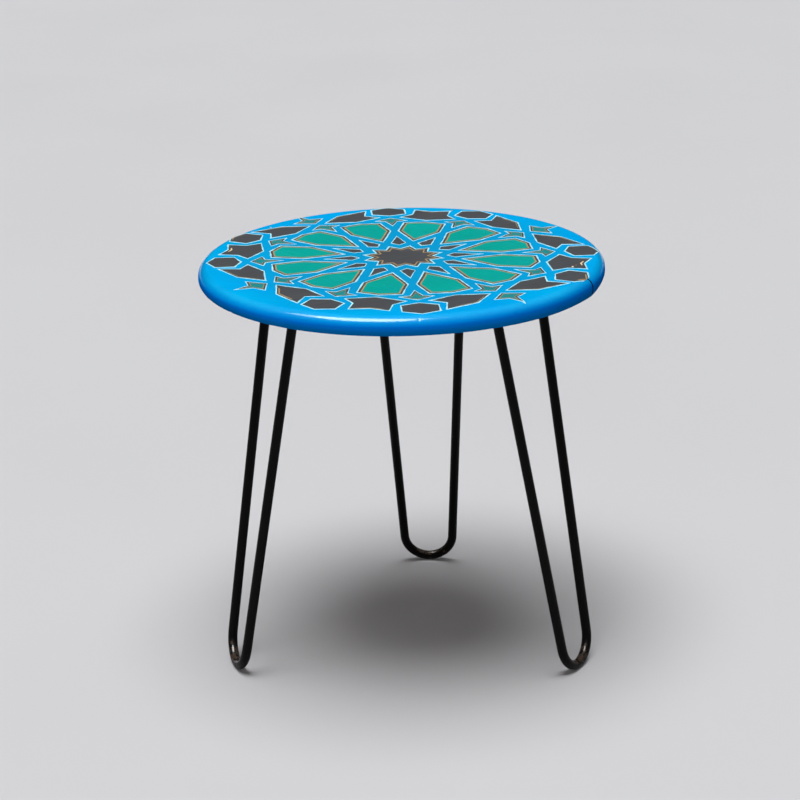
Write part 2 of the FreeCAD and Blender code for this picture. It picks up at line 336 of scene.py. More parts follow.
STRAP_AZURE = tint(14, 154, 208)
# Darker blues painted as shade where the rim turns down and away from the light, used also for the paint
# lapped under the board
SHADED_RIM_AZURE = tint(0, 112, 216)
SHADED_DEEP_RIM_AZURE = tint(0, 97, 196)
SHADED_LOW_RIM_AZURE = tint(0, 115, 194)
BARE_GRAIN = tint(204, 138, 70)
DUST = tint(188, 182, 174)
BLACK_PAINT = tint(8, 7, 7)
# Brown of bare steel, also painted on the rods' bends as a warm sheen
BROWN_STEEL_AND_SHEEN = tint(74, 59, 46)
BARE_STEEL = tint(128, 122, 116)
PALE_PINE = tint(214, 180, 132)
DARK_PINE = tint(170, 124, 78)
GLUE_LINE = tint(70, 48, 30)
ZINC = tint(190, 190, 186)
FLOOR_TONE = tint(204, 204, 207)
FLOOR_BOUNCE = tint(138, 138, 140)
BACKDROP_TONE = tint(212, 212, 214)

# How the paints wear
PAINT_DRIFT = 0.07
FURROW_SHOWS = 0.55
PAINT_SCUFF = 0.12

# How the board's blue dulls towards the middle and takes painted shade down the rim, and how its varnish
# wears
DULLS_OVER = (0.235, 0.165)
DULLS_RAGGED = 0.06
DULLS_PATCH = 0.05
DULLS_MOST = 0.9
RIM_SHADE_OVER = (0.86, 0.15)
LOW_RIM_SHADE_OVER = (0.2, -0.35)
FLAT_VARNISH_OVER = (0.93, 0.995)
FLAT_VARNISH = 0.4
VARNISH_ROUGHNESS = 0.14
VARNISH_IOR = 1.5

# How the black enamel is kicked and worn by shoes near the floor, the brown on upward faces also a painted
# warm sheen
KICKED_BELOW = 0.045
TRODDEN_AND_SHEEN_OVER = (0.01, 0.03)
TRODDEN_AND_SHEEN_MOST = 0.3
ENAMEL_ROUGHNESS = 0.4
ENAMEL_SCUFF = 0.15
ENAMEL_DUST = 0.6
ENAMEL_GRAIN = 0.0012
BARE_METALLIC = 0.45
BARE_SINKS = -0.8

# How the pine's grain, glue lines and lapped paint lie
BOARD_SHIFT = (0.9, 0.31)
GRAIN_SIZE = (0.32, 0.011)
PORE_SIZE = (0.03, 0.0006)
GRAIN_SPAN = (0.35, 0.65)
GLUE_LINE_OVER = (0.0015, 0.004)
GLUE_LINE_SHOWS = 0.75
LAP_RAGGED = 0.026
LAP_PATCH = 0.016
LAP_STANDS = 1.5
PORES_STAND = 0.8
LAP_OVER = (0.2175, 0.2195)
PINE_ROUGHNESS = 0.62
PINE_SCUFF = 0.1
LAP_SMOOTHER = -0.28

# How dull the zinc and the floor are
ZINC_ROUGHNESS = 0.28
ZINC_SCUFF = 0.2
FLOOR_ROUGHNESS = (0.55, 0.7)
FLOOR_PATCH = 0.4


def new_finish(name, values):
    """A material with one shader, whose even values are set on its own sockets."""
    material = bpy.data.materials.new(name)
    material.use_nodes = True
    nodes = Nodes(material.node_tree)
    nodes.tree.nodes.clear()
    shader = nodes.add("ShaderNodeBsdfPrincipled", values)
    nodes.add("ShaderNodeOutputMaterial", {"Surface": shader.outputs[0]})
    return material, nodes, shader


def board_tone_and_rim_shade(nodes, tone):
    """The board's blue, duller towards the middle, with painted shade darkening it down the rim and beneath.
    """
    ragged = nodes.math("MULTIPLY_ADD", nodes.patches(DULLS_PATCH, SOFT), DULLS_RAGGED, nodes.reach())
    tone = nodes.blend(nodes.map_range(ragged, *DULLS_OVER, 0.0, DULLS_MOST), tone, STRAP_AZURE)
    upward = nodes.upward()
    # Painted shade: the blue darkens as the rim turns from the light, and goes duller still where it faces
    # the floor
    tone = nodes.blend(nodes.map_range(upward, *RIM_SHADE_OVER), tone, SHADED_RIM_AZURE)
    return nodes.blend(nodes.map_range(upward, *LOW_RIM_SHADE_OVER), tone, SHADED_LOW_RIM_AZURE)


def varnish(nodes, shader):
    """Varnish brushed over the board, rubbed thin on the flat."""
    coat = nodes.effect(BRUSHED_VARNISH, {"Thins": 0.38, "Patch": 0.03})
    rubbed = nodes.map_range(nodes.upward(), *FLAT_VARNISH_OVER, 1.0, FLAT_VARNISH)
    nodes.fit(shader, {
        "Coat Weight": nodes.math("MULTIPLY", coat, rubbed),
        "Coat Roughness": VARNISH_ROUGHNESS,
        "Coat IOR": VARNISH_IOR,
    })


def brushed_paint(name, tones, patch, stroke, dullness, dust, shine, on_board=False):
    """Oil paint laid on with a brush: drifting tone, streaks, hairline scuffs and a little dust."""
    material, nodes, shader = new_finish(name, {"Specular IOR Level": shine})
    light, dark = tones
    length, width, turn = stroke
    ridge, furrow = dullness
    streak = nodes.effect(BRUSH_STROKES, {"Length": length, "Width": width, "Turn": turn})
    tone = nodes.effect(TONE_DRIFT, {"Colour": light, "Spread": PAINT_DRIFT, "Patch": patch})
    tone = nodes.blend(nodes.map_range(streak, 0.0, 1.0, FURROW_SHOWS, 0.0), tone, dark)
    if on_board:
        tone = board_tone_and_rim_shade(nodes, tone)
        varnish(nodes, shader)
    film = nodes.effect(SETTLED_DUST, {"Amount": dust, "Patch": 0.03})
    scuffs = nodes.effect(FINE_SCUFFS, {"Length": 0.05})
    even = nodes.map_range(streak, 0.0, 1.0, furrow, ridge)
    dulled = nodes.math("MULTIPLY_ADD", scuffs, PAINT_SCUFF, even)
    nodes.fit(shader, {
        "Base Color": nodes.blend(film, tone, DUST),
        "Roughness": nodes.math("ADD", dulled, film),
        "Normal": nodes.bump(streak, strength=0.25, distance=0.0002),
    })
    return material


def black_coat(name, rubbing_low, rubbing_high, rubbed_and_sheen_colour):
    """Black enamel on steel, polished where it faces up and rubbed through to brown where shoes reach it; on
    upward faces near the floor that brown is also a painted warm sheen.
    """
    material, nodes, shader = new_finish(name, {
        "Specular IOR Level": 0.08,
        "Coat Roughness": VARNISH_ROUGHNESS,
        "Coat IOR": VARNISH_IOR,
    })
    polish = nodes.effect(BRUSHED_VARNISH, {"Thins": 0.3, "Patch": 0.012})
    tone = nodes.effect(TONE_DRIFT, {"Colour": BLACK_PAINT, "Spread": 0.25, "Patch": 0.02})
    scuffs = nodes.effect(FINE_SCUFFS, {"Length": 0.03})
    film = nodes.effect(SETTLED_DUST, {"Amount": 0.02, "Patch": 0.012})
    height = nodes.along("Z", nodes.place())
    kicked = nodes.map_range(height, 0.0, KICKED_BELOW, rubbing_high, rubbing_low)
    near_floor = nodes.map_range(height, *TRODDEN_AND_SHEEN_OVER, TRODDEN_AND_SHEEN_MOST, 0.0)
    # Painted sheen: brown on the upward faces near the floor, as wear and as a warm reflection
    trodden_and_sheen = nodes.math("MULTIPLY", polish, near_floor)
    bare = nodes.effect(RUBBED_BARE, {"Rubbing": nodes.math("ADD", kicked, trodden_and_sheen), "Spot": 0.006})
    rough = nodes.math("MULTIPLY_ADD", scuffs, ENAMEL_SCUFF, ENAMEL_ROUGHNESS)
    relief = nodes.math("MULTIPLY_ADD", bare, BARE_SINKS, nodes.patches(ENAMEL_GRAIN, FINE))
    nodes.fit(shader, {
        "Base Color": nodes.blend(film, nodes.blend(bare, tone, rubbed_and_sheen_colour), DUST),
        "Roughness": nodes.math("MULTIPLY_ADD", film, ENAMEL_DUST, rough),
        "Metallic": nodes.math("MULTIPLY", bare, BARE_METALLIC),
        "Coat Weight": polish,
        "Normal": nodes.bump(relief, strength=0.3, distance=0.0001),
    })
    return material


def bare_pine():
    """Planed pine boards glued edge to edge, with the top's paint lapped round onto the rim."""
    material, nodes, shader = new_finish("bare_pine_underside", {"Specular IOR Level": 0.35})
    x = nodes.along("X", nodes.place())
    y = nodes.along("Y", nodes.place())
    boards = nodes.math("DIVIDE", nodes.math("SUBTRACT", y, BOARD_JOINT), BOARD_WIDTH)
    board = nodes.math("FLOOR", boards)
    own = nodes.add("ShaderNodeTexWhiteNoise", {"W": board}, noise_dimensions="1D").outputs[0]
    lain = nodes.add("ShaderNodeCombineXYZ", {
        "X": nodes.math("MULTIPLY_ADD", own, BOARD_SHIFT[0], x),
        "Y": nodes.math("MULTIPLY_ADD", own, BOARD_SHIFT[1], y),
        "Z": own,
    }).outputs[0]
    rings = nodes.noise(nodes.stretch(lain, 0.0, *GRAIN_SIZE), RINGED)
    pores = nodes.noise(nodes.stretch(lain, 0.0, *PORE_SIZE), SMOOTH)
    wood = nodes.blend(nodes.map_range(rings, *GRAIN_SPAN), PALE_PINE, DARK_PINE)
    tone = nodes.effect(TONE_DRIFT, {"Colour": wood, "Spread": 0.12, "Patch": 0.12})
    part = nodes.math("FRACT", boards)
    nearest = nodes.math("MINIMUM", part, nodes.math("SUBTRACT", 1.0, part))
    tone = nodes.blend(nodes.map_range(nearest, *GLUE_LINE_OVER, GLUE_LINE_SHOWS, 0.0), tone, GLUE_LINE)
    ragged = nodes.math("MULTIPLY_ADD", nodes.patches(LAP_PATCH, STREAKY), LAP_RAGGED, nodes.reach())
    lap = nodes.map_range(ragged, *LAP_OVER)
    streak = nodes.effect(BRUSH_STROKES, {"Length": 0.05, "Width": 0.002, "Turn": 0.4})
    # The lapped paint takes the rim's shaded blues, painted shade on the underside
    blue = nodes.blend(streak, SHADED_DEEP_RIM_AZURE, SHADED_RIM_AZURE)
    scuffs = nodes.effect(FINE_SCUFFS, {"Length": 0.06})
    dulled = nodes.math("MULTIPLY_ADD", scuffs, PINE_SCUFF, PINE_ROUGHNESS)
    height = nodes.math("MULTIPLY_ADD", lap, LAP_STANDS, nodes.math("MULTIPLY", pores, PORES_STAND))
    nodes.fit(shader, {
        "Base Color": nodes.blend(lap, tone, blue),
        "Roughness": nodes.math("MULTIPLY_ADD", lap, LAP_SMOOTHER, dulled),
        "Normal": nodes.bump(height, strength=0.4, distance=0.0003),
    })
    return material


def zinc_plate():
    """Bright zinc on screw heads, dulled in patches."""
    material, nodes, shader = new_finish("zinc_screw_finish", {"Metallic": 1.0})
    scuffs = nodes.effect(FINE_SCUFFS, {"Length": 0.006})
    nodes.fit(shader, {
        "Base Color": nodes.effect(TONE_DRIFT, {"Colour": ZINC, "Spread": 0.15, "Patch": 0.004}),
        "Roughness": nodes.math("MULTIPLY_ADD", scuffs, ZINC_SCUFF, ZINC_ROUGHNESS),
    })
    return material


def pale_floor():
    """A floor that is pale to the eye and in gloss, and throws less light back at the table."""
    material, nodes, shader = new_finish("pale_floor", {"Specular IOR Level": 0.2})
    ray = nodes.add("ShaderNodeLightPath").outputs
    mirrored = nodes.math("MAXIMUM", ray["Is Glossy Ray"], ray["Is Transmission Ray"])
    looked_at = nodes.math("MAXIMUM", ray["Is Camera Ray"], mirrored)
    tone = nodes.blend(looked_at, FLOOR_BOUNCE, FLOOR_TONE)
    nodes.fit(shader, {
        "Base Color": nodes.effect(TONE_DRIFT, {"Colour": tone, "Spread": 0.004, "Patch": 0.6}),
        "Roughness": nodes.map_range(nodes.patches(FLOOR_PATCH, STREAKY), *NOISE_SPAN, *FLOOR_ROUGHNESS),
    })
    return material


# Each paint: tones, patches, strokes by length, width and turn, dullness of ridge and furrow, dust, shine
PAINTS = {
    "azure_gloss_paint": {
        "tones": (tint(0, 173, 239), tint(0, 161, 228)), "patch": 0.11, "stroke": (0.09, 0.003, 0.35),
        "dullness": (0.45, 0.55), "dust": 0.002, "shine": 0.0, "on_board": True},
    "green_field_paint": {
        "tones": (tint(0, 166, 156), tint(0, 155, 143)), "patch": 0.05, "stroke": (0.03, 0.002, 0.9),
        "dullness": (0.36, 0.46), "dust": 0.008, "shine": 0.08},
    "dull_green_field_paint": {
        "tones": (tint(24, 145, 148), tint(36, 124, 126)), "patch": 0.02, "stroke": (0.012, 0.002, 0.9),
        "dullness": (0.36, 0.46), "dust": 0.01, "shine": 0.15},
    "charcoal_field_paint": {
        "tones": (tint(77, 80, 84), tint(65, 67, 71)), "patch": 0.05, "stroke": (0.03, 0.002, -0.5),
        "dullness": (0.38, 0.48), "dust": 0.02, "shine": 0.2},
    "gold_line_paint": {
        "tones": (tint(192, 162, 116), tint(158, 124, 80)), "patch": 0.012, "stroke": (0.008, 0.0015, 0.2),
        "dullness": (0.34, 0.46), "dust": 0.02, "shine": 0.3},
    "cream_touch_paint": {
        "tones": (tint(244, 220, 180), tint(222, 170, 112)), "patch": 0.006, "stroke": (0.006, 0.0015, 0.6),
        "dullness": (0.4, 0.5), "dust": 0.01, "shine": 0.3},
    "pale_line_paint": {
        "tones": (tint(208, 252, 255), tint(92, 212, 250)), "patch": 0.03, "stroke": (0.03, 0.008, 1.1),
        "dullness": (0.4, 0.5), "dust": 0.01, "shine": 0.35},
    "chipped_primer": {
        "tones": (tint(232, 228, 216), BARE_GRAIN), "patch": 0.004, "stroke": (0.004, 0.0008, 0.0),
        "dullness": (0.6, 0.75), "dust": 0.02, "shine": 0.3},
    "chipped_bare_wood": {
        "tones": (BARE_GRAIN, DARK_PINE), "patch": 0.004, "stroke": (0.006, 0.0006, 1.5),
        "dullness": (0.6, 0.75), "dust": 0.02, "shine": 0.3},
    # Dark fill in the opened joint: dirt, and painted shade deeper than the shallow groove casts
    "dirt_and_shade_in_joint": {
        "tones": (tint(14, 24, 34), tint(20, 22, 24)), "patch": 0.004, "stroke": (0.006, 0.0008, 0.3),
        "dullness": (0.8, 0.9), "dust": 0.01, "shine": 0.1},
}
PAINT = {name: brushed_paint(name, **values) for name, values in PAINTS.items()}
underside_finish = bare_pine()
rod_finish = black_coat("black_rod_enamel", 0.05, 0.45, BROWN_STEEL_AND_SHEEN)
plate_finish = black_coat("black_plate_enamel", 0.12, 0.12, BROWN_STEEL_AND_SHEEN)
weld_finish = black_coat("black_weld_enamel", 0.2, 0.2, BARE_STEEL)
screw_finish = zinc_plate()
floor_finish = pale_floor()


# Mesh building

FILL_INSIDE = 1
FIELD_CLOSENESS = 1e-4
METAL_CLOSENESS = 1e-5
SOFT_CREASE = 35
WELD_CREASE = 60


class Build:
    """Points and faces of one piece, gathered before its mesh is made."""

    def __init__(self):
        self.points = []
        self.faces = []
        self.finish_of_face = []

    def row(self, points):
        first = len(self.points)
        self.points.extend(points)
        return list(range(first, first + len(points)))

    def face(self, corners, finish=0):
        self.faces.append(corners)
        self.finish_of_face.append(finish)

    def skin(self, rows, wrapped=False, closed=True):
        """Bands of faces from each row to the next, and back to the first where the skin is wrapped."""
        following = rows[1:] + rows[:1] if wrapped else rows[1:]
        for first, second in zip(rows, following):
            count = len(first)
            for i in range(count if closed else count - 1):
                j = (i + 1) % count
                self.face([first[i], first[j], second[j], second[i]])

    def fan(self, row, tip, finish=0):
        for i, j in ring_edges(len(row)):
            self.face([row[i], row[j], tip], finish)


def make_piece(name, build, finishes, stands_for=(), crease=SOFT_CREASE):
    """Turns a build into a piece that rides on the table, with its edges sharp where they turn hard."""
    mesh = bpy.data.meshes.new(name)
    mesh.from_pydata(build.points, [], build.faces)
    for finish in finishes:
        mesh.materials.append(finish)
    mesh.polygons.foreach_set("material_index", build.finish_of_face)
    shape = bmesh.new()
    shape.from_mesh(mesh)
    bmesh.ops.recalc_face_normals(shape, faces=shape.faces)
    shape.to_mesh(mesh)
    shape.free()
    mesh.shade_smooth()
    mesh.set_sharp_from_angle(angle=math.radians(crease))
    piece = bpy.data.objects.new(name, mesh)
    scene.collection.objects.link(piece)
    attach(piece, "root")
    if stands_for:
        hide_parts(*stands_for)


def around(count, start=0.0):
    return [start + 2 * math.pi * i / count for i in range(count)]


def heading(angle):
    return Vector((math.cos(angle), math.sin(angle)))


def held(share):
    """A share held between none and all."""
    return min(max(share, 0.0), 1.0)


def ring_edges(count, first=0):
    """Each point of a ring with the next one, by number."""
    return [(first + i, first + (i + 1) % count) for i in range(count)]


def fill(drawn, edges, closeness):
    """Fills drawn edges: the points, each triangle's corners, and what each point was drawn as."""
    points, _, triangles, origins, _, _ = delaunay_2d_cdt(drawn, edges, [], FILL_INSIDE, closeness)
    return points, triangles, origins


# The board

# Rows and columns of the skin, with the flat rows by their reach in millimetres
RIM_STEPS = 14
BOARD_COLUMNS = 288
TOP_RINGS = (40, 80, 120, 150, 175, 190, 200, 207)
LOW_RINGS = (212, 205, 195, 183, 140, 90, 45)
UP = 90
DOWN = -90
NEARLY_LEVEL = 89.9

# Marks of the plane, the opened joint, the swelling beside it and the dents
PLANE_MARK = 0.12 * MM
MARKS_PER_METRE = 40
MARKS_LAYER = 0.3
SPLIT_HALF_WIDTH = 1.25 * MM
SPLIT_DEPTH = 2.4 * MM
SPLIT_STARTS = 214 * MM
SPLIT_RUNS = 219 * MM
SPLIT_COLUMNS = (-4, -2, -1, -0.6, 0, 0.6, 1, 2, 4)
SPLIT_CLEAR = 5
SPLIT_FLOOR = 0.99
SPLIT_EDGE = 0.9
SPLIT_STEP = -0.1 * MM
SPLIT_STEP_FADES = math.radians(9)
SPLIT_LEAN_FADES = 0.06
SWELL_DEPTH = 2.3 * MM
LIP_DEPTH = 0.9 * MM
LIP_SPREAD = math.radians(4.5)
SWELL_BEFORE = math.radians(38)
SWELL_AFTER = math.radians(16)
SWELL_STARTS = 183 * MM
SWELL_BELOW_RISE = 35
SWELL_GROWS_OVER = 80
DENT_COLUMNS = range(-6, 7)
DENT_ENDS = 3
RIM_DENTS = (
    {"turn": 214.5, "rise": -50, "width": 2.6 * MM, "depth": 0.9 * MM},
    {"turn": 274.2, "rise": 47, "width": 1.3 * MM, "depth": 0.3 * MM},
    {"turn": 301.0, "rise": 12, "width": 2.2 * MM, "depth": 0.25 * MM},
    {"turn": 238.0, "rise": -20, "width": 2.6 * MM, "depth": 0.3 * MM},
    {"turn": 118.0, "rise": 25, "width": 2.0 * MM, "depth": 0.3 * MM},
    {"turn": 20.0, "rise": -10, "width": 2.8 * MM, "depth": 0.35 * MM},
)

# The board's finishes, by number
PAINTED, BARE, IN_JOINT = range(3)


def rim_point(turn, rise):
    """A place on the rounded rim, and the way it faces. A rise of 90 is up and -90 is down."""
    side = heading(turn).to_3d()
    facing = side * math.cos(math.radians(rise)) + Vector((0, 0, math.sin(math.radians(rise))))
    around_bend = UPPER_ROUND if rise > 0 else LOWER_ROUND
    middle = TOP_HEIGHT - UPPER_ROUND if rise > 0 else UNDERSIDE + LOWER_ROUND
    return side * (TOP_RADIUS - around_bend) + Vector((0, 0, middle)) + facing * around_bend, facing


DENT_MIDDLES = [rim_point(math.radians(dent["turn"]), dent["rise"])[0] for dent in RIM_DENTS]


def round_share(reach):
    """How far out over the upper rounding a reach is, from 0 on the flat to 1 at the rim."""
    return held((reach - FLAT_RADIUS) / UPPER_ROUND)


def worn(point):
    """How deep the skin is dented or planed away at a place, as a hand tool leaves it."""
    sink = 0.0
    for dent, middle in zip(RIM_DENTS, DENT_MIDDLES):
        away = (point - middle).length / dent["width"]
        if away < DENT_ENDS:
            sink += dent["depth"] * math.exp(-away ** 2)
    ripple = noise.noise(Vector((point.x * MARKS_PER_METRE, point.y * MARKS_PER_METRE, MARKS_LAYER)))
    return sink + PLANE_MARK * round_share(math.hypot(point.x, point.y)) * (1 + ripple)


def on_skin(x, y, lift):
    """A place on the painted top, flat and then falling round the rim, raised by the paint's thickness."""
    reach = math.hypot(x, y)
    rise = math.degrees(math.acos(round_share(reach)))
    point, facing = rim_point(math.atan2(y, x), rise)
    if reach <= FLAT_RADIUS:
        point = Vector((x, y, TOP_HEIGHT))
    return point + facing * (lift - worn(point))


def board_profile():
    """Reach from the middle and rise of the skin, from the middle of the top round to the underside."""
    profile = [(reach * MM, UP) for reach in TOP_RINGS]
    profile += [(FLAT_RADIUS, UP - NEARLY_LEVEL * step / RIM_STEPS) for step in range(RIM_STEPS + 1)]
    profile += [(FLAT_RADIUS, DOWN * step / RIM_STEPS) for step in range(RIM_STEPS + 1)]
    profile += [(reach * MM, DOWN) for reach in LOW_RINGS]
    return profile


def joint_turn(reach):
    """Where round the board the opened joint runs, at a distance from the middle."""
    return math.asin(BOARD_JOINT / reach)


JOINT_TURN = joint_turn(TOP_RADIUS)
SPLIT_HALF_TURN = math.asin(SPLIT_HALF_WIDTH / TOP_RADIUS)


def past_joint(turn):
    """How far round from the opened joint, less than nothing before it."""
    return (turn - JOINT_TURN + math.pi) % (2 * math.pi) - math.pi


def board_columns():
    """Turns round the board, closer together at the opened joint and at each dent."""
    turns = set(around(BOARD_COLUMNS))
    middle = JOINT_TURN % (2 * math.pi)
    for dent in RIM_DENTS:
        for share in DENT_COLUMNS:
            turns.add(math.radians(dent["turn"]) + share * dent["width"] / (DENT_ENDS * TOP_RADIUS))
    groove = [middle + share * SPLIT_HALF_TURN for share in SPLIT_COLUMNS]
    kept = [turn for turn in turns if abs(turn - middle) > SPLIT_CLEAR * SPLIT_HALF_TURN]
    spaced = []
    for turn in sorted(kept + groove):
        if not spaced or turn - spaced[-1] > SPLIT_HALF_TURN / 4:
            spaced.append(turn)
    return spaced


def swollen(turn, reach, rise):
    """How far the lower rim hangs down beside the opened joint, where damp has swollen the wood."""
    away = past_joint(turn)
    spread = SWELL_BEFORE if away < 0 else SWELL_AFTER
    if rise > DOWN:
        share = held((SWELL_BELOW_RISE - rise) / SWELL_GROWS_OVER)
    else:
        share = held((reach - SWELL_STARTS) / (TOP_RADIUS - LOWER_ROUND - SWELL_STARTS))
    hang = SWELL_DEPTH * math.exp(-(away / spread) ** 2) + LIP_DEPTH * math.exp(-(away / LIP_SPREAD) ** 2)
    return hang * share * share * (3 - 2 * share)


def board_point(turn, reach, rise):
    """A point of the board's skin, and how far the joint has opened there."""
    away = past_joint(turn)
    if reach == FLAT_RADIUS:
        point, facing = rim_point(turn, rise)
    else:
        facing = Vector((0, 0, math.copysign(1, rise)))
        height = TOP_HEIGHT if rise > 0 else UNDERSIDE
        point = Vector((math.cos(turn) * reach, math.sin(turn) * reach, height))
    out = math.hypot(point.x, point.y)
    lean = joint_turn(max(out, SPLIT_STARTS)) - JOINT_TURN
    lean *= math.exp(-(away / SPLIT_LEAN_FADES) ** 2)
    lean *= held((out - SWELL_STARTS) / (SPLIT_STARTS - SWELL_STARTS))
    turned = Matrix.Rotation(lean, 3, "Z")
    point = turned @ point
    opened = held((out - SPLIT_STARTS) / (SPLIT_RUNS - SPLIT_STARTS))
    in_groove = abs(away) < SPLIT_HALF_TURN * SPLIT_FLOOR
    sink = worn(point) if rise > DOWN else 0.0
    if in_groove:
        sink += SPLIT_DEPTH * opened
    if SPLIT_HALF_TURN * SPLIT_EDGE < away < SPLIT_STEP_FADES:
        sink += SPLIT_STEP * opened * (1 - away / SPLIT_STEP_FADES)
    hang = Vector((0, 0, swollen(turn, out, rise)))
    return point - turned @ facing * sink - hang, opened if in_groove else 0.0


def make_board():
    """The board as one skin, with its rim's dents, the opened joint and the swelling beside it."""
    build = Build()
    columns = board_columns()
    rows = []
    for reach, rise in board_profile():
        points, opened = zip(*[board_point(turn, reach, rise) for turn in columns])
        rows.append((build.row(points), rise, opened))
    top_tip = build.row([Vector((0, 0, TOP_HEIGHT))])[0]
    low_tip = build.row([Vector((0, 0, UNDERSIDE))])[0]
    build.fan(rows[0][0], top_tip)
    for (first, rise, first_open), (second, _, second_open) in zip(rows, rows[1:]):
        for i, j in ring_edges(len(columns)):
            finish = BARE if rise == DOWN else PAINTED
            # Faces in the opened joint take the dark fill, dirt and painted shade
            if max(first_open[i], first_open[j], second_open[i], second_open[j]) > 0:
                finish = IN_JOINT
            build.face([first[i], first[j], second[j], second[i]], finish)
    build.fan(rows[-1][0], low_tip, BARE)
    finishes = [PAINT["azure_gloss_paint"], underside_finish, PAINT["dirt_and_shade_in_joint"]]
    make_piece("painted_board", build, finishes, ["tabletop"])


make_board()


# The painted star, drawn in millimetres about its own middle

STAR_TURN = -10.3
STAR_MIDDLE = Vector((2.2, 2.5))
STAR_SQUASH = 0.0240
STAR_SKEW = 0.050
PAINT_REACH = 219.5
SIDES = range(4)
BOLD_SIDE = 3
TWELFTHS = range(12)
TWELFTH = 30
HALF_TWELFTH = 15


def mirrored(half):
    """A whole cell from the half on one side of its axis, each corner given as (out, aside)."""
    other = [(out, -aside) for out, aside in half]
    return other + [(out, aside) for out, aside in reversed(half) if aside > 0]


# Corners of each kind of cell, out from the middle and aside from the cell's own axis
STAR_TIP = 44.0
STAR_NOTCH = 32.5
KITE = mirrored([(49.5, 0), (57.3, 7.8), (85.5, 0)])
PETAL = mirrored([(66.5, 0), (108, 24), (144.8, 24), (151.2, 0)])
DART = mirrored([(134.7, 0), (153.5, 6.5), (156, 17.5), (168.6, 0)])
ARROW = mirrored([(159.5, 0), (169.5, 32), (184, 20.5), (205, 21), (200, 0)])
HEXAGON = mirrored([(180, 0), (187.6, 19.4), (208.8, 19.4), (218, 0)])
CORNER_STAR = mirrored([(178.5, 0), (193, 19.5), (198.5, 5), (217, 0)])
FLANK = [(161.2, -0.7), (170.1, -32.4), (183.2, -18.6), (204.7, -27.5), (194.7, 11.2), (170.3, 33.9)]
OTHER_FLANK = [(out, -aside) for out, aside in reversed(FLANK)]


def along_axis(axis, corners):
    turn = Matrix.Rotation(math.radians(axis), 2)
    return [turn @ Vector(corner) for corner in corners]


def star_cells():
    """Every cell of the star as its kind and its corners."""
    star = []
    ring = []
    for twelfth in TWELFTHS:
        axis = TWELFTH * twelfth
        between = axis + HALF_TWELFTH
        star += along_axis(axis, [(STAR_TIP, 0)])
        star += along_axis(between, [(STAR_NOTCH, 0)])
        ring.append(("petal", along_axis(axis, PETAL)))
        ring.append(("kite", along_axis(between, KITE)))
        ring.append(("dart", along_axis(between, DART)))
    cells = [("star", star)] + ring
    for side in SIDES:
        axis = QUARTER_TURN * side
        cells.append(("arrow" if side % 2 else "side_arrow", along_axis(axis, ARROW)))
        cells.append(("hexagon" if side % 2 else "bold_hexagon", along_axis(axis - HALF_TWELFTH, HEXAGON)))
        cells.append(("hexagon", along_axis(axis + HALF_TWELFTH, HEXAGON)))
        cells.append(("flank", along_axis(axis + TWELFTH, FLANK)))
        other_flank = "bold_flank" if side == BOLD_SIDE else "other_flank"
        cells.append((other_flank, along_axis(axis - TWELFTH, OTHER_FLANK)))
        cells.append(("corner_star", along_axis(axis + QUARTER_TURN / 2, CORNER_STAR)))
    return cells


# A painter's hand, in millimetres: how far it drifts and trembles, and over what length
DRIFT = 0.5
DRIFT_RUN = 28
DRIFT_LAYER = 0.5
TREMOR = 0.22
TREMOR_RUN = 5
COATS_APART = 3.7
PRESS_SWING = 0.9
PRESS_RUN = 9
PRESS_LAYER = 8.1
PRESSED_WIDTH = (0.5, 1.35)

# How closely outlines are dotted and fields filled, in millimetres, and limits for corners and edges
STROKE_STEP = 2.4
SHARPEST_CORNER = 0.12
NO_LENGTH = 1e-9
FLAT_GRID = 7.0
RIM_GRID = 2.2

# Lines and fields that are drawn one after the other, each with a tremor of its own
CHARCOAL_COAT, PALE_OUTER, PALE_INNER, GOLD_OUTER, GOLD_INNER, GREEN_COAT = range(1, 7)


def on_board(point):
    """Turns a drawn point onto the board, with the slight skew of a hand-drawn layout."""
    turned = Matrix.Rotation(math.radians(STAR_TURN), 2) @ point
    laid = Vector((
        turned.x + STAR_MIDDLE.x,
        turned.y * (1 - STAR_SQUASH) - turned.x * STAR_SKEW + STAR_MIDDLE.y,
    ))
    return laid * min(1.0, PAINT_REACH / max(laid.length, 1.0))


def hand_moved(point, coat):
    """A painter's hand: a slow drift that all coats share, and a tremor of each coat's own."""
    drift = noise.noise_vector(Vector((point.x / DRIFT_RUN, point.y / DRIFT_RUN, DRIFT_LAYER)))
    tremor = noise.noise_vector(Vector((point.x / TREMOR_RUN, point.y / TREMOR_RUN, COATS_APART * coat)))
    return point + DRIFT * drift.xy + TREMOR * tremor.xy


def inset(corners, depth):
    """The cell's outline moved inwards, or outwards where the depth is negative."""
    moved = []
    for i, here in enumerate(corners):
        before = (here - corners[i - 1]).normalized()
        after = (corners[(i + 1) % len(corners)] - here).normalized()
        first = Vector((-before.y, before.x))
        second = Vector((-after.y, after.x))
        moved.append(here + (first + second) * (depth / max(1 + first.dot(second), SHARPEST_CORNER)))
    return moved


def dotted(corners, like, coat, closed=True):
    """Points along an outline, as many on each edge as its length on the first outline asks for."""
    points = []
    edges = ring_edges(len(corners))
    for i, j in edges if closed else edges[:-1]:
        steps = max(2, round((like[j] - like[i]).length / STROKE_STEP))
        for step in range(steps):
            points.append(hand_moved(corners[i].lerp(corners[j], step / steps), coat))
    if not closed:
        points.append(hand_moved(corners[-1], coat))
    return [on_board(point) for point in points]


def lifted(point, lift):
    """A drawn point on the painted skin, raised by the thickness of the paint."""
    return on_skin(point.x * MM, point.y * MM, lift * MM)


def set_width(outer, inner, i, width):
    """Moves the two rails of a line together or apart at one point, by a share of the width they have."""
    middle = outer[i].lerp(inner[i], 0.5)
    outer[i] = middle.lerp(outer[i], width)
    inner[i] = middle.lerp(inner[i], width)


